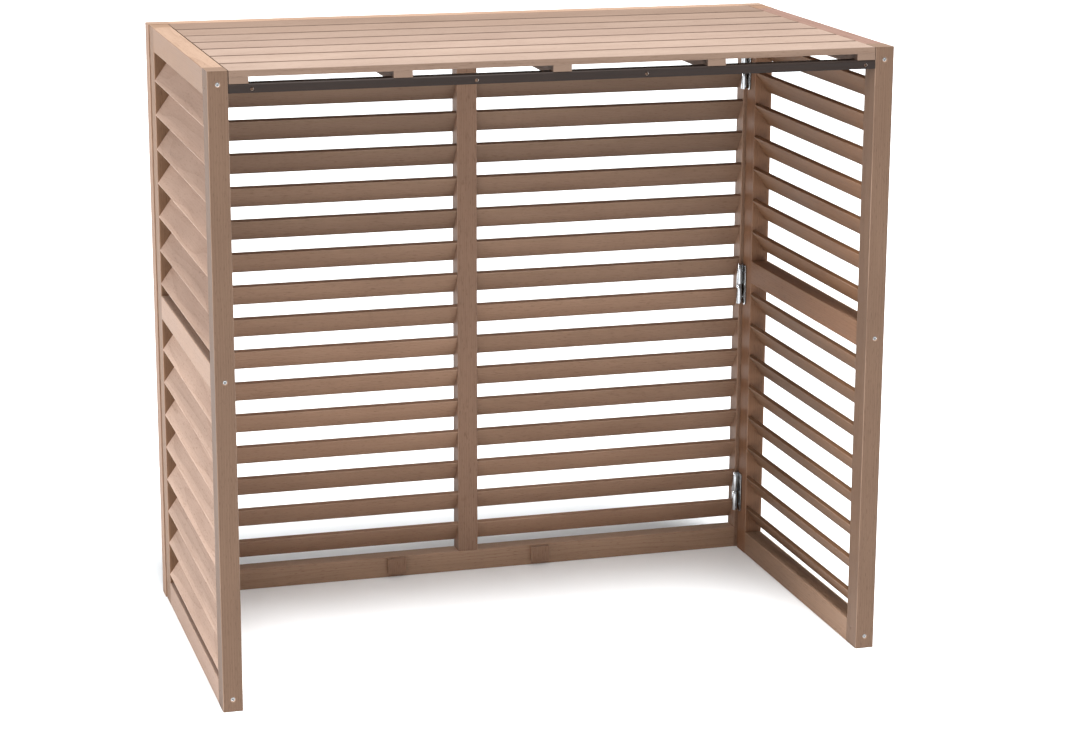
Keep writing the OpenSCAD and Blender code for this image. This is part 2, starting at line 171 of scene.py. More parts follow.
class CoverScrew(bpy.types.PropertyGroup):
    """Sizes of the screws and pins."""
    frame_head: length("Frame screw head", "Head diameter of the long frame screws", 5.4)
    frame_sink: length("Frame screw depth", "How far the long screws' heads lie under the wood's face", 1.0)
    frame_shank: length("Frame screw shank", "Shank diameter of the long frame screws", 4.0)
    small_head: length("Small screw head", "Head diameter of the small screws", 5.0)
    small_shank: length("Small screw shank", "Shank diameter of the small screws", 2.6)
    rim: length("Head rim", "Height of a head's upright rim", 0.3)
    soft: share("Head edge", "Radius of a screw's rounded edges, as a share of the head", 0.03)
    recess_l: share("Recess length", "Half the length of a cross recess, as a share of the head", 0.35)
    recess_w: share("Recess width", "Half the width of a cross recess's arm, as a share of the head", 0.14)
    recess_deep: share("Recess depth", "Depth of a cross recess, as a share of the head", 0.34)
    pin_sink: length("Pin depth", "How far the ends of the corner pins lie under the wood's face", 0.7)
    pin_dome: length("Pin dome", "Radius of the corner pins' rounded rims", 0.4)


class CoverStage(bpy.types.PropertyGroup):
    """Camera and light."""
    camera_at: FloatVectorProperty(
        name="Camera", description="Place of the camera", default=(-1.076, -3.8255, 1.41), size=3,
        subtype="TRANSLATION", unit="LENGTH",
    )
    yaw: angle("Yaw", "Turn of the view to the right of +Y", 16.388)
    pitch: angle("Pitch", "Downward tilt of the view", 14.255)
    roll: angle("Roll", "Turn of the picture", 0.22)
    lens: FloatProperty(name="Lens", description="Focal length in millimetres", default=90.9, min=1.0)
    floor: colour("Floor", "Pale matt studio floor", "#e9ecee")
    floor_r: length("Floor radius", "Radius of the round floor", 60000.0)
    floor_drop: length("Floor drop", "How far the floor lies under the boards, clear of their faces", 0.5)
    grit: length("Grit", "Size of the grit in the floor's paint", 3.0)
    glow: share("Floor glow", "Light that comes through the translucent floor", 0.11)
    sky: share("Room light", "Strength of the even room light", 0.135)
    top: share("Top light", "Strength of the soft light from the front, high up", 6.7)
    side: share("Side light", "Strength of the low soft light from the left", 3.15)
    fill: share("Fill light", "Strength of the wide soft light from the front", 1.0)


def add(tree, kind, settings, inputs):
    """Adds a node with its settings; an input takes a value, a socket or a node's first output."""
    node = tree.nodes.new("ShaderNode" + kind)
    node.location = (200 * len(tree.nodes), 0)
    for name, value in settings.items():
        setattr(node, name, value)
    for key, value in inputs.items():
        if isinstance(value, bpy.types.Node):
            value = value.outputs[0]
        if isinstance(value, bpy.types.NodeSocket):
            tree.links.new(value, node.inputs[key])
        else:
            node.inputs[key].default_value = value
    return node


def material(name):
    """Empty material and its node tree."""
    made = bpy.data.materials.new(name)
    made.use_nodes = True
    made.node_tree.nodes.clear()
    return made, made.node_tree


def finish_with(made, tree, shader):
    """The material, with this shader as its surface."""
    add(tree, "OutputMaterial", {}, {"Surface": shader})
    return made


def opaque(rgb):
    """Linear colour with full alpha, as a socket wants it."""
    return (*rgb, 1.0)


# Sockets of the Mix node: what goes in as factor, vectors or colours, and what comes out
FACTOR, VECTOR_A, VECTOR_B, COLOUR_A, COLOUR_B = 0, 4, 5, 6, 7
VECTOR_OUT, COLOUR_OUT = 1, 2
# Largest part of a face's normal where the face is square to an axis, nearly square, or on a rounded arris
SQUARE, NEARLY_SQUARE, ROUNDED = 0.99, 0.9, 0.86
# How far the figure of one louvre lies from the next one's, across and along the grain, in metres
NEXT_ACROSS, NEXT_ALONG = 0.03, 3.0
# How far apart two patterns, and two boards, lie in an endless pattern, in its own units
NEXT_PATTERN, NEXT_BOARD = 7.3, 11.0
# How much the place of the pith and its distance differ from board to board, in metres
PITH_PLACE, PITH_REACH = 0.03, 0.04
# How much latewood and flecks darken the stain, and how much light fibres and stain clouds lighten it
LATE_SHARE, FLECK_SHARE, FIBRE_SHARE, CLOUD_SHARE = -0.16, -0.3, 0.44, 0.3


def louvre_space(tree, wood, point, chance):
    """The point as seen from its own louvre's height, that height, and the louvre's random draws."""
    height = add(tree, "SeparateXYZ", {}, {0: point}).outputs[2]
    above = add(tree, "Math", {"operation": "SUBTRACT"}, {0: height, 1: wood.louvre_first})
    count = add(tree, "Math", {"operation": "DIVIDE"}, {0: above, 1: wood.louvre_pitch})
    count = add(tree, "Math", {"operation": "ROUND"}, {0: count})
    level = add(tree, "Math", {"operation": "MULTIPLY_ADD"},
                {0: count, 1: wood.louvre_pitch, 2: wood.louvre_first})
    raised = add(tree, "CombineXYZ", {}, {2: level})
    point = add(tree, "VectorMath", {"operation": "SUBTRACT"}, {0: point, 1: raised})
    number = add(tree, "Math", {"operation": "ADD"}, {0: count, 1: chance.uniform(0, 100)})
    draw = add(tree, "TexWhiteNoise", {"noise_dimensions": "1D"}, {"W": number})
    return point, level, draw


def fir_figure(tree, wood, local, grain, figure):
    """Patterns of a fir board: its latewood lines, fibres, resin flecks and clouds of stain."""
    def stretched(along, across):
        """Scale of a pattern that is long along the grain."""
        return [1 / (along if i == grain else across) for i in range(3)]

    def pattern(number, along, across, **look):
        """Noise in an endless pattern of its own."""
        place = [NEXT_PATTERN * number + NEXT_BOARD * f for f in figure]
        at = add(tree, "Mapping", {}, {0: local, "Scale": stretched(along, across), "Location": place})
        return add(tree, "TexNoise", {}, {"Vector": at, "Scale": 1.0, **look})

    bend = pattern(1, wood.wander_l, wood.wander_w, Detail=1.0)
    bent = add(tree, "VectorMath", {"operation": "MULTIPLY_ADD"},
               {0: bend.outputs["Color"], 1: [wood.wander] * 3, 2: local})
    pith = [PITH_PLACE * f for f in figure]
    pith[(grain + 1) % 3] += wood.pith + PITH_REACH * abs(figure[0])
    ring_at = add(tree, "Mapping", {}, {0: bent, "Location": pith})
    rings = {"wave_type": "RINGS", "rings_direction": "XYZ"[grain], "wave_profile": "SAW"}
    # A wave of scale 1 has a period of pi / 10
    saw = add(tree, "TexWave", rings,
              {"Vector": ring_at, "Scale": math.pi / 10 / wood.ring, "Distortion": 0.0})
    # Latewood is the narrow dark end of each ring
    late = add(tree, "Math", {"operation": "POWER"}, {0: saw.outputs["Fac"], 1: 3.0})
    fibre = pattern(2, wood.fibre_l, wood.fibre, Detail=3.0, Roughness=0.6)
    fleck = pattern(3, wood.fleck_l, wood.fleck, Detail=1.0)
    # Only the peaks of the noise are flecks
    fleck = add(tree, "MapRange", {}, {"Value": fleck, "From Min": 0.60, "From Max": 0.72})
    cloud = pattern(4, 3 * wood.cloud, wood.cloud, Detail=2.0)
    return late, fibre, fleck, cloud


def lit_from_above(tree, wood, stain, normal):
    """The stain with painted top light and sheen, which make the faces that look up paler and bluer, and
    how far a face looks up.
    """
    up = add(tree, "SeparateXYZ", {}, {0: normal}).outputs[2]
    up = add(tree, "MapRange", {}, {"Value": up, "From Min": NEARLY_SQUARE, "From Max": SQUARE})
    # Painted top light: the faces that look up are multiplied by this tint
    sun = add(tree, "Mix", {"data_type": "VECTOR"},
              {FACTOR: up, VECTOR_A: (1, 1, 1), VECTOR_B: wood.top_light_tint})
    stain = add(tree, "VectorMath", {"operation": "MULTIPLY"}, {0: stain, 1: sun.outputs[VECTOR_OUT]})
    return stain, up


def shaded_gap_edges(tree, wood, stain, centred, up, half):
    """The stain with painted shade along the two long edges of a slat of this half width, for the gaps
    between the slats.
    """
    away = add(tree, "SeparateXYZ", {}, {0: centred}).outputs[1]
    away = add(tree, "Math", {"operation": "ABSOLUTE"}, {0: away})
    darkest = add(tree, "MapRange", {}, {"Value": up, "To Min": wood.gap_shade_side, "To Max": wood.gap_shade_top})
    # Painted shade: the tone falls towards each long edge of a slat, further on an upper face than on an
    # upright one
    gap_shade = add(tree, "MapRange", {}, {
        "Value": away, "From Min": half - wood.gap_shade, "From Max": half - wood.gap_shade_core,
        "To Min": 1.0, "To Max": darkest,
    })
    return add(tree, "VectorMath", {"operation": "SCALE"}, {0: stain, "Scale": gap_shade})


def worn_and_sawn(tree, wood, stain, normal, turn, grain, cloud):
    """The stain rubbed lighter on rounded arrises and weathered on sawn ends."""
    flat = add(tree, "Mapping", {"vector_type": "VECTOR"}, {0: normal, "Rotation": turn})
    flat = add(tree, "VectorMath", {"operation": "ABSOLUTE"}, {0: flat})
    sides = add(tree, "SeparateXYZ", {}, {0: flat})
    # The largest part of the normal tells a flat face from a rounded arris
    most = add(tree, "Math", {"operation": "MAXIMUM"}, {0: sides.outputs[0], 1: sides.outputs[1]})
    most = add(tree, "Math", {"operation": "MAXIMUM"}, {0: most, 1: sides.outputs[2]})
    arris = add(tree, "MapRange", {}, {"Value": most, "From Min": SQUARE, "From Max": ROUNDED})
    # Wear comes in patches along an arris
    rubbed = add(tree, "MapRange", {},
                 {"Value": cloud, "From Min": 0.3, "From Max": 0.7, "To Min": 0.02, "To Max": 0.3})
    worn = add(tree, "Math", {"operation": "MULTIPLY"}, {0: arris, 1: rubbed})
    stain = add(tree, "Mix", {"data_type": "RGBA"},
                {FACTOR: worn, COLOUR_A: stain, COLOUR_B: opaque(wood.worn)})
    # On a sawn end half of the stain's colour is left
    end = add(tree, "MapRange", {}, {
        "Value": sides.outputs[grain], "From Min": NEARLY_SQUARE, "From Max": SQUARE, "To Max": 0.5,
    })
    return add(tree, "Mix", {"data_type": "RGBA"},
               {FACTOR: end, COLOUR_A: stain.outputs[COLOUR_OUT], COLOUR_B: opaque(wood.end_grain)})


def stained_fir(node, wood, grain, tone, chance, turn=(0.0, 0.0, 0.0), bank=False, shade=1.0, half=0.0):
    """Planed fir under a matt, half-covering brown stain: fibres show through, arrises are rubbed lighter.

    The grain's axis is 0, 1 or 2, and the tone, which holds painted light and shade, multiplies the stain's
    three channels.
    A bank of louvres is one node, and each of its boards gets its own figure and tone; turn lays its boards
    square to the axes, and shade is the tone of the painted shade that the lid casts on the ones close
    under it.
    Half is half a lid slat's width, for the painted shade along its long edges, where the gaps between the
    slats lie."""
    made, tree = material("stained_fir_" + node)
    low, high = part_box(node)
    place = add(tree, "TexCoord", {}, {})
    point, normal = place.outputs["Object"], place.outputs["Normal"]
    start = -(low + high) / 2
    figure = [chance.uniform(-0.5, 0.5) for _ in range(3)]
    if bank:
        start.z = 0.0
        point, level, draw = louvre_space(tree, wood, point, chance)
    centred = add(tree, "Mapping", {"vector_type": "POINT"}, {0: point, "Location": start})
    local = add(tree, "Mapping", {"vector_type": "POINT"}, {0: centred, "Rotation": turn})
    if bank:
        spread = [NEXT_ALONG if i == grain else NEXT_ACROSS for i in range(3)]
        shift = add(tree, "VectorMath", {"operation": "MULTIPLY_ADD"},
                    {0: draw.outputs["Color"], 1: spread, 2: [-s / 2 for s in spread]})
        local = add(tree, "VectorMath", {"operation": "ADD"}, {0: local, 1: shift})

    late, fibre, fleck, cloud = fir_figure(tree, wood, local, grain, figure)
    # From dark at 0 to light at 1; noise lies about a half, and so it counts from there
    light = 0.5
    for part, part_share, middle in (
        (fibre, FIBRE_SHARE, 0.5), (cloud, CLOUD_SHARE, 0.5),
        (late, LATE_SHARE, 0.0), (fleck, FLECK_SHARE, 0.0),
    ):
        weighed = add(tree, "Math", {"operation": "MULTIPLY_ADD"},
                      {0: part, 1: part_share, 2: -part_share * middle})
        light = add(tree, "Math", {"operation": "ADD"}, {0: weighed, 1: light})
    light = add(tree, "Clamp", {}, {0: light})
    stain = add(tree, "Mix", {"data_type": "RGBA"},
                {FACTOR: light, COLOUR_A: opaque(wood.stain_dark), COLOUR_B: opaque(wood.stain_light)})
    stain = add(tree, "VectorMath", {"operation": "MULTIPLY"}, {0: stain.outputs[COLOUR_OUT], 1: tone})
    if bank:
        # Each louvre is a tenth paler or darker at most
        board = add(tree, "MapRange", {}, {"Value": draw.outputs["Value"], "To Min": 0.9, "To Max": 1.1})
        # Painted shade of the lid: the back louvres grow darker from the shade's foot up to its top
        lid_shade = add(tree, "MapRange", {}, {
            "Value": level, "From Min": wood.shade_top, "From Max": wood.shade_foot,
            "To Min": shade, "To Max": 1.0,
        })
        board = add(tree, "Math", {"operation": "MULTIPLY"}, {0: board, 1: lid_shade})
        stain = add(tree, "VectorMath", {"operation": "SCALE"}, {0: stain, "Scale": board})
    # Painted top light and sheen on the faces that look up
    stain, up = lit_from_above(tree, wood, stain, normal)
    # Painted shade along the gaps between the lid's slats
    if half:
        stain = shaded_gap_edges(tree, wood, stain, centred, up, half)
    stain = worn_and_sawn(tree, wood, stain, normal, turn, grain, cloud)

    # Flecks are a little sunk and latewood a little raised
    relief = add(tree, "Math", {"operation": "MULTIPLY_ADD"}, {0: fleck, 1: -0.5, 2: fibre})
    relief = add(tree, "Math", {"operation": "MULTIPLY_ADD"}, {0: late, 1: 0.25, 2: relief})
    bump = add(tree, "Bump", {}, {"Strength": 0.35, "Distance": wood.relief, "Height": relief})
    rough = add(tree, "MapRange", {}, {"Value": cloud, "To Min": 0.5, "To Max": 0.66})
    shader = add(tree, "BsdfPrincipled", {}, {
        "Base Color": stain.outputs[COLOUR_OUT], "Roughness": rough, "Specular IOR Level": 0.25,
        "Normal": bump,
    })
    return finish_with(made, tree, shader)


def zinc_plate(metal):
    """Pressed steel with bright zinc plate: clear, slightly clouded reflections on all that is round."""
    made, tree = material("bright_zinc_plate")
    place = add(tree, "TexCoord", {}, {})
    cloud = add(tree, "TexNoise", {},
                {"Vector": place.outputs["Object"], "Scale": 1 / metal.bloom, "Detail": 2.0})
    cloudy = [0.82 * c for c in metal.zinc]
    tint = add(tree, "Mix", {"data_type": "RGBA"},
               {FACTOR: cloud, COLOUR_A: opaque(cloudy), COLOUR_B: opaque(metal.zinc)})
    # Painted dark reflection: flat faces, which lie square to X or Y, are painted in a darker zinc
    sides = add(tree, "VectorMath", {"operation": "ABSOLUTE"}, {0: place.outputs["Normal"]})
    sides = add(tree, "SeparateXYZ", {}, {0: sides})
    most = add(tree, "Math", {"operation": "MAXIMUM"}, {0: sides.outputs[0], 1: sides.outputs[1]})
    dark_reflection = add(tree, "MapRange", {}, {"Value": most, "From Min": 0.985, "From Max": 0.998})
    tint = add(tree, "Mix", {"data_type": "RGBA"},
               {FACTOR: dark_reflection, COLOUR_A: tint.outputs[COLOUR_OUT], COLOUR_B: opaque(metal.dark_reflection)})
    rough = add(tree, "MapRange", {}, {"Value": cloud, "To Min": 0.14, "To Max": 0.26})
    shader = add(tree, "BsdfPrincipled", {}, {
        "Base Color": tint.outputs[COLOUR_OUT], "Metallic": 1.0, "Roughness": rough,
    })
    return finish_with(made, tree, shader)


def powder_coat(metal):
    """Dark satin powder coat: a faint orange peel breaks up its soft shine."""
    made, tree = material("charcoal_powder_coat")
    place = add(tree, "TexCoord", {}, {})
    peel = add(tree, "TexNoise", {},
               {"Vector": place.outputs["Object"], "Scale": 1 / metal.peel, "Detail": 1.0})
    cloud = add(tree, "TexNoise", {},
                {"Vector": place.outputs["Object"], "Scale": 1 / metal.patch, "Detail": 3.0})
    thin, thick = ([part * c for c in metal.coat] for part in (0.8, 1.2))
    tint = add(tree, "Mix", {"data_type": "RGBA"},
               {FACTOR: cloud, COLOUR_A: opaque(thin), COLOUR_B: opaque(thick)})
    rough = add(tree, "MapRange", {}, {"Value": cloud, "To Min": 0.5, "To Max": 0.64})
    bump = add(tree, "Bump", {}, {"Strength": 0.25, "Distance": metal.peel_deep, "Height": peel})
    shader = add(tree, "BsdfPrincipled", {}, {
        "Base Color": tint.outputs[COLOUR_OUT], "Roughness": rough, "Specular IOR Level": 0.2,
        "Normal": bump,
    })
    return finish_with(made, tree, shader)


def bare_steel(metal):
    """Freshly drilled mild steel: bright, with fine turning marks."""
    made, tree = material("drilled_bare_steel")
    place = add(tree, "TexCoord", {}, {})
    marks = add(tree, "TexNoise", {},
                {"Vector": place.outputs["Object"], "Scale": 1 / metal.marks, "Detail": 2.0})
    rough = add(tree, "MapRange", {}, {"Value": marks, "To Min": 0.3, "To Max": 0.5})
    shader = add(tree, "BsdfPrincipled", {}, {
        "Base Color": opaque(metal.bare), "Metallic": 1.0, "Roughness": rough,
    })
    return finish_with(made, tree, shader)


def shared(maker, settings):
    """The material of this maker, made the first time that it is asked for."""
    key = "made_" + maker.__name__
    kept = bpy.data.materials.get(bpy.context.scene.get(key, ""))
    if kept is None:
        kept = maker(settings)
        bpy.context.scene[key] = kept.name
    return kept


def dress(node, made):
    """Gives a CAD node its finish."""
    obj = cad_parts[node]
    if not obj.material_slots:
        obj.data.materials.append(made)
    for place in obj.material_slots:
        place.material = made


def clear():
    """Object mode with nothing selected."""
    if bpy.context.object and bpy.context.object.mode != "OBJECT":
        bpy.ops.object.mode_set(mode="OBJECT")
    bpy.ops.object.select_all(action="DESELECT")


def only(piece):
    """Makes this the one selected piece."""
    clear()
    piece.select_set(True)
    bpy.context.view_layer.objects.active = piece


def box(low, high):
    """Block between two corners, started from a cube."""
    clear()
    low, high = Vector(low), Vector(high)
    bpy.ops.mesh.primitive_cube_add(size=1.0, location=(low + high) / 2, scale=high - low)
    bpy.ops.object.transform_apply()
    return bpy.context.object


def rod(radius, low, high, sides=32):
    """Round bar between two points on one axis."""
    clear()
    low, high = Vector(low), Vector(high)
    along = (high - low).normalized()
    bpy.ops.mesh.primitive_cylinder_add(
        vertices=sides, radius=radius, depth=(high - low).length, location=(low + high) / 2,
        rotation=along.to_track_quat("Z", "Y").to_euler(),
    )
    bpy.ops.object.transform_apply()
    return bpy.context.object


def edit(piece, kind, test):
    """Edit mode with those faces (or edges) selected whose middle and direction pass the test."""
    only(piece)
    mesh = piece.data
    bpy.context.tool_settings.mesh_select_mode = (False, kind == "edge", kind == "face")
    for parts in (mesh.vertices, mesh.edges, mesh.polygons):
        parts.foreach_set("select", [False] * len(parts))
    if kind == "face":
        for face in mesh.polygons:
            face.select = test(face.center, face.normal)
    else:
        for line in mesh.edges:
            a, b = (mesh.vertices[i].co for i in line.vertices)
            line.select = test((a + b) / 2, (b - a).normalized())
    bpy.ops.object.mode_set(mode="EDIT")


def done_editing():
    """Back to object mode."""
    bpy.ops.object.mode_set(mode="OBJECT")


def face_outward(piece):
    """Turns all faces of the piece outwards."""
    only(piece)
    bpy.ops.object.mode_set(mode="EDIT")
    bpy.ops.mesh.select_all(action="SELECT")
    bpy.ops.mesh.normals_make_consistent(inside=False)
    done_editing()


def modify(piece, kind, **settings):
    """Adds a modifier and applies it."""
    only(piece)
    modifier = piece.modifiers.new(kind.title(), kind)
    for name, value in settings.items():
        setattr(modifier, name, value)
    bpy.ops.object.modifier_apply(modifier=modifier.name)


def cut(piece, *tools, how="DIFFERENCE"):
    """Cuts the tools out of the piece, or welds them to it."""
    for tool in tools:
        modify(piece, "BOOLEAN", operation=how, solver="EXACT", object=tool)
        bpy.data.meshes.remove(tool.data)


def soften(piece, radius, segments=2):
    """Rounds the sharp edges and shades them smooth."""
    modify(piece, "BEVEL", width=radius, segments=segments, limit_method="ANGLE",
           angle_limit=math.radians(35), use_clamp_overlap=True)
    only(piece)
    bpy.ops.object.shade_smooth_by_angle(angle=math.radians(40))


def copy_to(piece, place):
    """Copy of the piece with its own mesh, moved by a matrix."""
    only(piece)
    bpy.ops.object.duplicate(linked=False)
    twin = bpy.context.object
    twin.matrix_world = place @ twin.matrix_world
    only(twin)
    bpy.ops.object.transform_apply()
    return twin


def welded(pieces, name):
    """All pieces as one object, named."""
    clear()
    for piece in pieces:
        piece.select_set(True)
    bpy.context.view_layer.objects.active = pieces[0]
    if len(pieces) > 1:
        bpy.ops.object.join()
    made = bpy.context.object
    made.name = made.data.name = name
    return made


def mirrored(piece, name):
    """Mirror image across the middle of the cover."""
    twin = copy_to(piece, Matrix.Scale(-1, 4, (1, 0, 0)))
    face_outward(twin)
    twin.name = twin.data.name = name
    return twin


def stand_for(piece, node, made, body):
    """Puts a finished piece in the place of a CAD node."""
    piece.data.materials.clear()
    piece.data.materials.append(made)
    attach(piece, body)
    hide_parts(node)


def solids(node):
    """Vertices of each separate solid of a CAD node, in order of place."""
    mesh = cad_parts[node].data
    # A node's triangles are loose, so vertices are one where they agree to a hundredth of a millimetre
    keys = [tuple(round(c, 5) for c in v.co) for v in mesh.vertices]
    parent = {k: k for k in keys}

    def root(k):
        """Vertex that stands for all that this one is joined to."""
        while parent[k] != k:
            parent[k] = parent[parent[k]]
            k = parent[k]
        return k

    for face in mesh.polygons:
        first = root(keys[face.vertices[0]])
        for i in face.vertices[1:]:
            parent[root(keys[i])] = first
    groups = {}
    for k in parent:
        groups.setdefault(root(k), []).append(Vector(k))
    return sorted(groups.values(), key=lambda g: tuple(min(p[i] for p in g) for i in range(3)))


def corners(points):
    """Lowest and highest corner of some points."""
    return tuple(Vector(f(p[i] for p in points) for i in range(3)) for f in (min, max))


def longest(low, high):
    """Axis along which a box is longest."""
    return max(range(3), key=lambda i: (high - low)[i])


def screw_places(node):
    """For each screw of a node: the middle of its head, the unit vector along its shank, its length."""
    places = []
    for points in solids(node):
        low, high = corners(points)
        axis = longest(low, high)
        reach = []
        for end in (low, high):
            middle = (low + high) / 2
            middle[axis] = end[axis]
            flat = [p for p in points if abs(p[axis] - end[axis]) < 2 * SAME]
            reach.append((max((p - middle).length for p in flat), middle))
        # The head is the wider end
        (low_r, low_at), (high_r, high_at) = reach
        head, way = (low_at, 1) if low_r > high_r else (high_at, -1)
        along = Vector([way if i == axis else 0 for i in range(3)])
        places.append((head, along, (high - low)[axis]))
    return places


# Length of a screw's tip as a share of the shank's radius, and how far it narrows
TIP_LENGTH, TIP_END = 1.6, 0.12
# How far a wing of the cross recess narrows inwards: along, across and in depth
RECESS_TAPER = (0.7, 0.75, 1)


def screw(head_d, shank_d, long, size):
    """Countersunk cross-head screw from the origin along +Z."""
    head_r, shank_r = head_d / 2, shank_d / 2
    sunk, tip = head_r - shank_r, TIP_LENGTH * shank_r
    clear()
    bpy.ops.mesh.primitive_circle_add(vertices=32, radius=head_r, fill_type="NGON")
    piece = bpy.context.object
    bpy.ops.object.mode_set(mode="EDIT")
    bpy.ops.mesh.select_all(action="SELECT")
    # Height and narrowing of the head's rim, its sunk part, the shank and the tip
    shank_l = long - size.rim - sunk - tip
    for rise, scale in ((size.rim, 1.0), (sunk, shank_r / head_r), (shank_l, 1.0), (tip, TIP_END)):
        bpy.ops.mesh.extrude_region_move(TRANSFORM_OT_translate={"value": (0, 0, rise)})
        bpy.ops.transform.resize(value=(scale, scale, 1))
    done_editing()
    face_outward(piece)
    # The cross recess is two wings that grow narrower inwards
    span, arm, deep = (part * head_d for part in (size.recess_l, size.recess_w, size.recess_deep))
    for turn in (math.pi / 4, -math.pi / 4):
        wing = box((-span, -arm, -deep), (span, arm, deep))
        edit(wing, "face", lambda middle, normal: normal.z > NEARLY_SQUARE)
        bpy.ops.transform.resize(value=RECESS_TAPER)
        done_editing()
        wing.rotation_euler.z = turn
        only(wing)
        bpy.ops.object.transform_apply()
        cut(piece, wing)
    soften(piece, size.soft * head_d)
    return piece


def place_screws(node, head_d, shank_d, sink, size, name):
    """Screws in all places of a node, each driven in as deep as sink, as one piece."""
    places = screw_places(node)
    master = screw(head_d, shank_d, places[0][2], size)
    made = []
    for middle, along, _ in places:
        turn = Vector((0, 0, 1)).rotation_difference(along).to_matrix().to_4x4()
        made.append(copy_to(master, Matrix.Translation(middle + along * sink) @ turn))
    bpy.data.meshes.remove(master.data)
    return welded(made, name)


# Tone of each kind of board in red, green and blue: partly its own, as rails came from paler boards than
# stiles, and partly painted light and shade, with the left side's louvres painted lighter and the right
# side's inner boards, the lid's rear slats and the battens painted darker
TONE_AND_PAINTED_LIGHT = {
    "front_stile": (0.375, 0.34, 0.3), "left_rear_stile": (0.57, 0.49, 0.39),
    "right_rear_stile": (0.56, 0.42, 0.3),
    "left_mid_rail": (0.92, 0.91, 0.9), "right_mid_rail": (0.58, 0.47, 0.375),
    "left_top_rail": (0.7, 0.65, 0.585), "right_top_rail": (0.48, 0.405, 0.4),
    "left_bottom_rail": (0.89, 0.9, 0.93), "right_bottom_rail": (0.66, 0.61, 0.53),
    "left_lower_louvres": (1.28, 1.37, 1.49), "left_upper_louvres": (1.01, 1.05, 1.12),
    "right_lower_louvres": (0.445, 0.36, 0.265), "right_upper_louvres": (0.46, 0.34, 0.22),
    "back_left_louvres": (0.85, 0.79, 0.72), "back_right_louvres": (0.85, 0.79, 0.72),
    "back_centre_stile": (0.7, 0.63, 0.57), "back_bottom_rail": (0.98, 0.95, 0.87),
    "lid_slat_1": (0.645, 0.65, 0.65), "lid_slat_2": (0.675, 0.68, 0.68),
    "lid_slat_3": (0.655, 0.655, 0.655), "lid_slat_4": (0.575, 0.565, 0.56),
    "lid_slat_5": (0.55, 0.54, 0.53), "lid_slat_6": (0.515, 0.495, 0.475),
    "lid_slat_7": (0.44, 0.415, 0.39), "lid_batten": (0.25, 0.235, 0.23),
}
OTHER_BOARDS = (0.72, 0.65, 0.58)


def tone_and_painted_light(node):
    """Tone of a node's boards in three channels, with its painted light and shade."""
    return next((tone for kind, tone in TONE_AND_PAINTED_LIGHT.items() if kind in node), OTHER_BOARDS)


class COVER_OT_frame_boards(bpy.types.Operator):
    """Stains the stiles, rails, ledge and spacer blocks"""
    bl_idname = "cover.frame_boards"
    bl_label = "Frame boards"

    def execute(self, context):
        wood = context.scene.cover_wood
        chance = random.Random(11)
        for node in sorted(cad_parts):
            if node.startswith("lid_") or not node.endswith(("stile", "rail", "ledge", "blocks")):
                continue
            # The node of the blocks is longest from block to block, across their grain
            grain = 2 if node.endswith("blocks") else longest(*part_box(node))
            dress(node, stained_fir(node, wood, grain, tone_and_painted_light(node), chance))
        return {"FINISHED"}


class COVER_OT_louvres(bpy.types.Operator):
    """Stains the banks of louvres, each board with its own figure"""
    bl_idname = "cover.louvres"
    bl_label = "Louvres"

    def execute(self, context):
        wood = context.scene.cover_wood
        slope = wood.louvre_slope
        chance = random.Random(23)
        for node in sorted(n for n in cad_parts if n.endswith("louvres")):
            if node.startswith("back_"):
                grain, turn, shade = 0, (slope, 0.0, 0.0), wood.shade
            else:
                grain, turn, shade = 1, (0.0, slope if node.startswith("left_") else -slope, 0.0), 1.0
            dress(node, stained_fir(node, wood, grain, tone_and_painted_light(node), chance, turn, True, shade))
        return {"FINISHED"}


class COVER_OT_lid(bpy.types.Operator):
    """Stains the slats and battens of the lid"""
    bl_idname = "cover.lid"
    bl_label = "Lid"

    def execute(self, context):
        wood = context.scene.cover_wood
        chance = random.Random(37)
        for node in sorted(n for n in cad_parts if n.startswith(("lid_slat", "lid_batten"))):
            slat = "slat" in node
            low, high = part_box(node)
            half = (high - low).y / 2 if slat else 0.0
            dress(node, stained_fir(node, wood, 0 if slat else 1, tone_and_painted_light(node), chance, half=half))
        return {"FINISHED"}


class COVER_OT_support_bar(bpy.types.Operator):
    """Models the bent steel bar with its end plates and wall-fixing holes"""
    bl_idname = "cover.support_bar"
    bl_label = "Support bar"

    def execute(self, context):
        size, metal = context.scene.cover_bar, context.scene.cover_metal
        low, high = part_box("support_bar")
        bar = box(low, high)
        edit(bar, "edge", lambda middle, way: abs(way.x) > NEARLY_SQUARE and middle.y < low.y + SAME
             and middle.z > high.z - SAME)
        bpy.ops.mesh.bevel(offset=size.bend, segments=5, affect="EDGES")
        done_editing()
        hollow = box((low.x + size.plate, low.y + size.steel, low.z - PAST),
                     (high.x - size.plate, high.y + PAST, high.z - size.steel))
        cut(bar, hollow)
        hole_z = low.z + (high.z - low.z - size.steel) / 2
        for x in HOLES_X:
            front, back = (x, low.y - PAST, hole_z), (x, low.y + size.steel + PAST, hole_z)
            cut(bar, rod(size.hole / 2, front, back))
        soften(bar, size.edge)
        bar.name = bar.data.name = "folded_support_bar"
        stand_for(bar, "support_bar", shared(powder_coat, metal), "cover")
        bar.data.materials.append(shared(bare_steel, metal))
        reach = size.hole / 2 + size.rim

        def in_hole(middle, normal):
            near = min(math.hypot(middle.x - x, middle.z - hole_z) for x in HOLES_X)
            return near < reach and middle.y < low.y + size.steel + PAST

        edit(bar, "face", in_hole)
        bar.active_material_index = 1
        bpy.ops.object.material_slot_assign()
        done_editing()
        return {"FINISHED"}


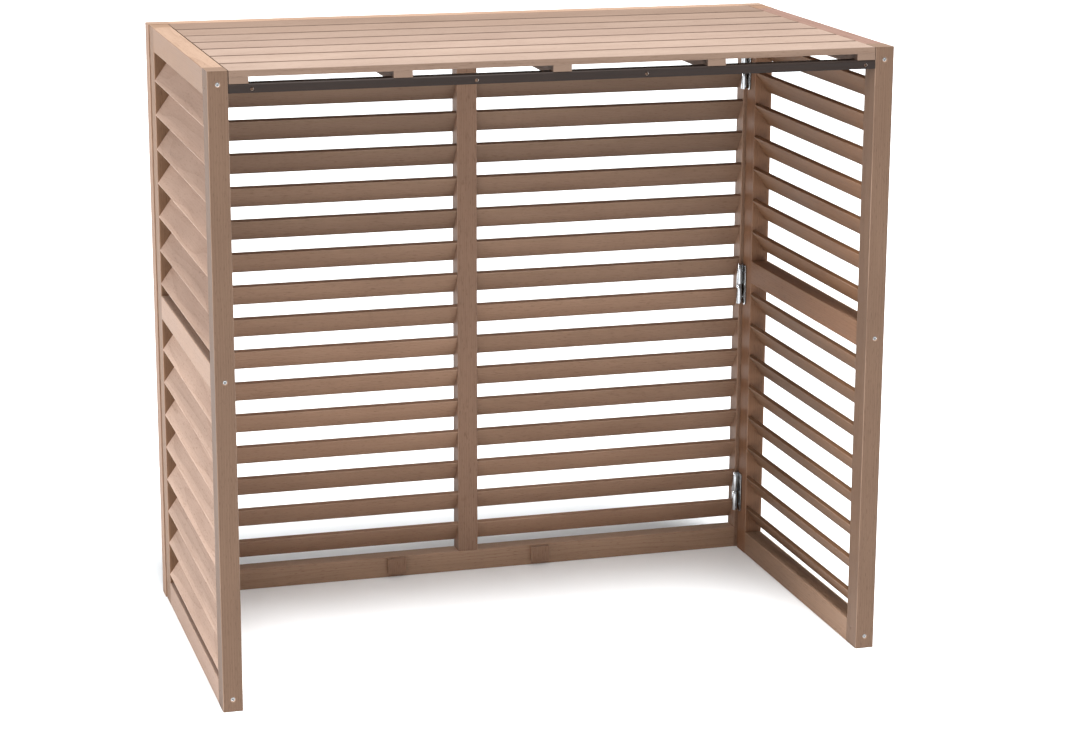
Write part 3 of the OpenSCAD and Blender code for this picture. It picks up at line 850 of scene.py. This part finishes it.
class COVER_OT_hinges(bpy.types.Operator):
    """Models the hinges: leaves with rounded corners, rolled knuckles, domed pins"""
    bl_idname = "cover.hinges"
    bl_label = "Hinges"

    def execute(self, context):
        size = context.scene.cover_hinge
        plate = shared(zinc_plate, context.scene.cover_metal)
        heads = context.scene.cover_screw
        for kind in ("moving", "fixed"):
            boxes = [corners(points) for points in solids("right_hinge_%s_leaves" % kind)]
            # The moving leaf's screws go into the side panel, along X
            screws = [at for at, along, _ in screw_places("right_hinge_screws")
                      if (along.x != 0) == (kind == "moving")]
            made = [self.leaf(kind, low, high, size, heads, screws) for low, high in boxes]
            self.both_sides(made, "%s_hinge_leaves" % kind, "hinge_%s_leaves" % kind, plate)
        made = []
        for points in solids("right_hinge_pins"):
            low, high = corners(points)
            x, y, _ = (low + high) / 2
            pin = rod(size.pin / 2, (x, y, low.z - size.proud), (x, y, high.z + size.proud))
            soften(pin, size.dome, 4)
            made.append(pin)
        self.both_sides(made, "domed_hinge_pins", "hinge_pins", plate)
        return {"FINISHED"}

    def both_sides(self, made, name, node, plate):
        """The right side's pieces as one and its mirror image on the left, in the place of their nodes."""
        piece = welded(made, "right_" + name)
        twin = mirrored(piece, "left_" + name)
        stand_for(piece, "right_" + node, plate, "cover")
        stand_for(twin, "left_" + node, plate, "cover")

    def leaf(self, kind, low, high, size, heads, screws):
        """One leaf of the right side, in its place."""
        radius, moving = size.knuckle / 2, kind == "moving"
        # The knuckle's outside gives the hinge line
        if moving:
            line = Vector((low.x + radius, high.y - radius))
            plate_low = (high.x - size.leaf, low.y, low.z)
            plate_high = (high.x, line.y, high.z)
        else:
            line = Vector((low.x + radius, low.y + radius))
            plate_low = (line.x, high.y - size.leaf, low.z)
            plate_high = (high.x, high.y, high.z)
        piece = box(plate_low, plate_high)

        def free_corner(middle, way):
            if moving:
                return abs(way.x) > NEARLY_SQUARE and middle.y < low.y + SAME
            return abs(way.y) > NEARLY_SQUARE and middle.x > high.x - SAME

        edit(piece, "edge", free_corner)
        bpy.ops.mesh.bevel(offset=size.corner, segments=6, affect="EDGES")
        done_editing()
        # The moving leaf has the upper half of the knuckle and leaves room for the fixed leaf's half
        room = radius + size.gap
        if moving:
            split = (low.z + high.z + size.gap) / 2
            half, other = (split, high.z), (low.z - PAST, split)
            room_low, room_high = (line.x - 2 * room, line.y - room), (high.x + PAST, line.y + 2 * room)
        else:
            split = (low.z + high.z - size.gap) / 2
            half, other = (low.z, split), (split, high.z + PAST)
            room_low, room_high = (line.x - 2 * room, line.y - 2 * room), (line.x + room, high.y + PAST)
        cut(piece, box((*room_low, other[0]), (*room_high, other[1])))
        cut(piece, rod(radius, (*line, half[0]), (*line, half[1]), 40), how="UNION")
        cut(piece, rod(size.pin / 2 + PLAY / 2, (*line, low.z - PAST), (*line, high.z + PAST)))
        along = Vector((1, 0, 0)) if moving else Vector((0, 1, 0))
        for at in screws:
            if low.z < at.z < high.z:
                head_r, shank_r = heads.small_head / 2 + PLAY, heads.small_shank / 2 + PLAY
                deep = head_r - shank_r + 2 * PLAY
                cut(piece, self.cone(at - along * PLAY, along, head_r + PLAY, shank_r, deep))
                cut(piece, rod(shank_r, at - along * PAST, at + along * (size.leaf + PAST)))
        soften(piece, size.edge)
        return piece

    def cone(self, at, along, wide, narrow, deep):
        """Countersink that narrows along its axis."""
        clear()
        bpy.ops.mesh.primitive_cone_add(
            vertices=32, radius1=wide, radius2=narrow, depth=deep, location=at + along * deep / 2,
            rotation=along.to_track_quat("Z", "Y").to_euler(),
        )
        bpy.ops.object.transform_apply()
        return bpy.context.object


class COVER_OT_screws(bpy.types.Operator):
    """Models the cross-head screws of frame, hinges, bar, ledge and lid"""
    bl_idname = "cover.screws"
    bl_label = "Screws"

    def execute(self, context):
        size = context.scene.cover_screw
        plate = shared(zinc_plate, context.scene.cover_metal)
        for node in (
            "left_frame_screws", "right_frame_screws", "left_hinge_screws", "right_hinge_screws",
            "support_bar_screws", "back_ledge_screws", "lid_screws",
        ):
            if "frame" in node:
                head_d, shank_d, sink = size.frame_head, size.frame_shank, size.frame_sink
            else:
                head_d, shank_d, sink = size.small_head, size.small_shank, 0.0
            piece = place_screws(node, head_d, shank_d, sink, size, "cross_head_" + node)
            stand_for(piece, node, plate, "lid" if node.startswith("lid") else "cover")
        return {"FINISHED"}


class COVER_OT_pins(bpy.types.Operator):
    """Models the pins that lock the corner tenons, sunk a little under the wood"""
    bl_idname = "cover.pins"
    bl_label = "Corner pins"

    def execute(self, context):
        size = context.scene.cover_screw
        sink = size.pin_sink
        plate = shared(zinc_plate, context.scene.cover_metal)
        for node in ("left_frame_pins", "right_frame_pins"):
            made = []
            for points in solids(node):
                low, high = corners(points)
                _, y, z = (low + high) / 2
                pin = rod((high.z - low.z) / 2, (low.x + sink, y, z), (high.x - sink, y, z), 24)
                soften(pin, size.pin_dome, 3)
                made.append(pin)
            piece = welded(made, "sunk_" + node)
            stand_for(piece, node, plate, "cover")
        return {"FINISHED"}


class COVER_OT_stage(bpy.types.Operator):
    """Sets the floor, the lights and the camera"""
    bl_idname = "cover.stage"
    bl_label = "Stage"

    def execute(self, context):
        scene, stage = context.scene, context.scene.cover_stage
        clear()
        self.lay_floor(stage)
        self.light_room(scene, stage)
        self.set_camera(scene, stage)
        return {"FINISHED"}

    def lay_floor(self, stage):
        """Pale matt floor that glows a little, so that it comes out nearly white."""
        bpy.ops.mesh.primitive_circle_add(
            vertices=96, radius=stage.floor_r, fill_type="NGON", location=(0, 0, -stage.floor_drop)
        )
        bpy.ops.object.transform_apply()
        floor = bpy.context.object
        floor.name = "studio_floor"
        made, tree = material("pale_matt_floor")
        place = add(tree, "TexCoord", {}, {})
        grit = add(tree, "TexNoise", {}, {"Vector": place.outputs["Object"], "Scale": 1 / stage.grit})
        rough = add(tree, "MapRange", {}, {"Value": grit, "To Min": 0.85, "To Max": 0.95})
        shader = add(tree, "BsdfPrincipled", {}, {
            "Base Color": opaque(stage.floor), "Roughness": rough, "Specular IOR Level": 0.1,
            "Emission Color": (1, 1, 1, 1), "Emission Strength": stage.glow,
        })
        floor.data.materials.append(finish_with(made, tree, shader))

    def light_room(self, scene, stage):
        """Even light from all round and three soft lights."""
        world = bpy.data.worlds.new("studio_room")
        scene.world = world
        world.use_nodes = True
        world.node_tree.nodes.clear()
        light = add(world.node_tree, "Background", {}, {"Color": (1, 1, 1, 1), "Strength": stage.sky})
        add(world.node_tree, "OutputWorld", {}, {"Surface": light})
        # In degrees: how wide a light looks, its bearing from the front to the right, its height
        for name, strength, *degrees in (
            ("top_softbox", stage.top, 24, 8, 71), ("side_softbox", stage.side, 20, -80, 8),
            ("front_fill", stage.fill, 50, -5, 48),
        ):
            wide, bearing, height = (math.radians(d) for d in degrees)
            level = math.cos(height)
            way = Vector((math.sin(bearing) * level, -math.cos(bearing) * level, math.sin(height)))
            bpy.ops.object.light_add(
                type="SUN", location=way * 4, rotation=way.to_track_quat("Z", "Y").to_euler()
            )
            sun = bpy.context.object
            sun.name = name
            sun.data.energy = strength
            sun.data.angle = wide

    def set_camera(self, scene, stage):
        """Camera at the photo's place and angle."""
        turn = (Matrix.Rotation(-stage.yaw, 3, "Z") @ Matrix.Rotation(math.pi / 2 - stage.pitch, 3, "X")
                @ Matrix.Rotation(stage.roll, 3, "Z"))
        bpy.ops.object.camera_add(location=stage.camera_at, rotation=turn.to_euler())
        camera = bpy.context.object
        camera.name = "photo_camera"
        camera.data.sensor_width = 36.0
        camera.data.lens = stage.lens
        camera.data.clip_start, camera.data.clip_end = 0.05, 200.0
        scene.camera = camera
        scene.view_settings.view_transform = "Standard"
        scene.view_settings.look = "None"


OPERATORS = (
    COVER_OT_frame_boards, COVER_OT_louvres, COVER_OT_lid, COVER_OT_support_bar, COVER_OT_hinges,
    COVER_OT_screws, COVER_OT_pins, COVER_OT_stage,
)
SETTINGS = {
    "cover_wood": CoverWood, "cover_metal": CoverMetal, "cover_bar": CoverBar,
    "cover_hinge": CoverHinge, "cover_screw": CoverScrew, "cover_stage": CoverStage,
}


class COVER_PT_panel(bpy.types.Panel):
    """Steps and settings of the cover"""
    bl_idname = "COVER_PT_panel"
    bl_label = "Air conditioner cover"
    bl_space_type = "VIEW_3D"
    bl_region_type = "UI"
    bl_category = "Cover"

    def draw(self, context):
        for step in OPERATORS:
            self.layout.operator(step.bl_idname)
        for name, group in SETTINGS.items():
            column = self.layout.column()
            column.label(text=group.__doc__)
            for key in group.__annotations__:
                column.prop(getattr(context.scene, name), key)


def register():
    """Registers the settings, the steps and the panel."""
    for group in SETTINGS.values():
        bpy.utils.register_class(group)
    for step in (*OPERATORS, COVER_PT_panel):
        bpy.utils.register_class(step)
    for name, group in SETTINGS.items():
        setattr(bpy.types.Scene, name, PointerProperty(type=group))


def unregister():
    """Takes everything out again, in reverse order."""
    for name in SETTINGS:
        delattr(bpy.types.Scene, name)
    for step in (COVER_PT_panel, *reversed(OPERATORS)):
        bpy.utils.unregister_class(step)
    for group in reversed(list(SETTINGS.values())):
        bpy.utils.unregister_class(group)


def main():
    """Dresses the frame and sets the stage."""
    register()
    bpy.ops.cover.frame_boards()
    bpy.ops.cover.louvres()
    bpy.ops.cover.lid()
    bpy.ops.cover.support_bar()
    bpy.ops.cover.hinges()
    bpy.ops.cover.screws()
    bpy.ops.cover.pins()
    bpy.ops.cover.stage()
    clear()


if __name__ == "__main__":
    main()
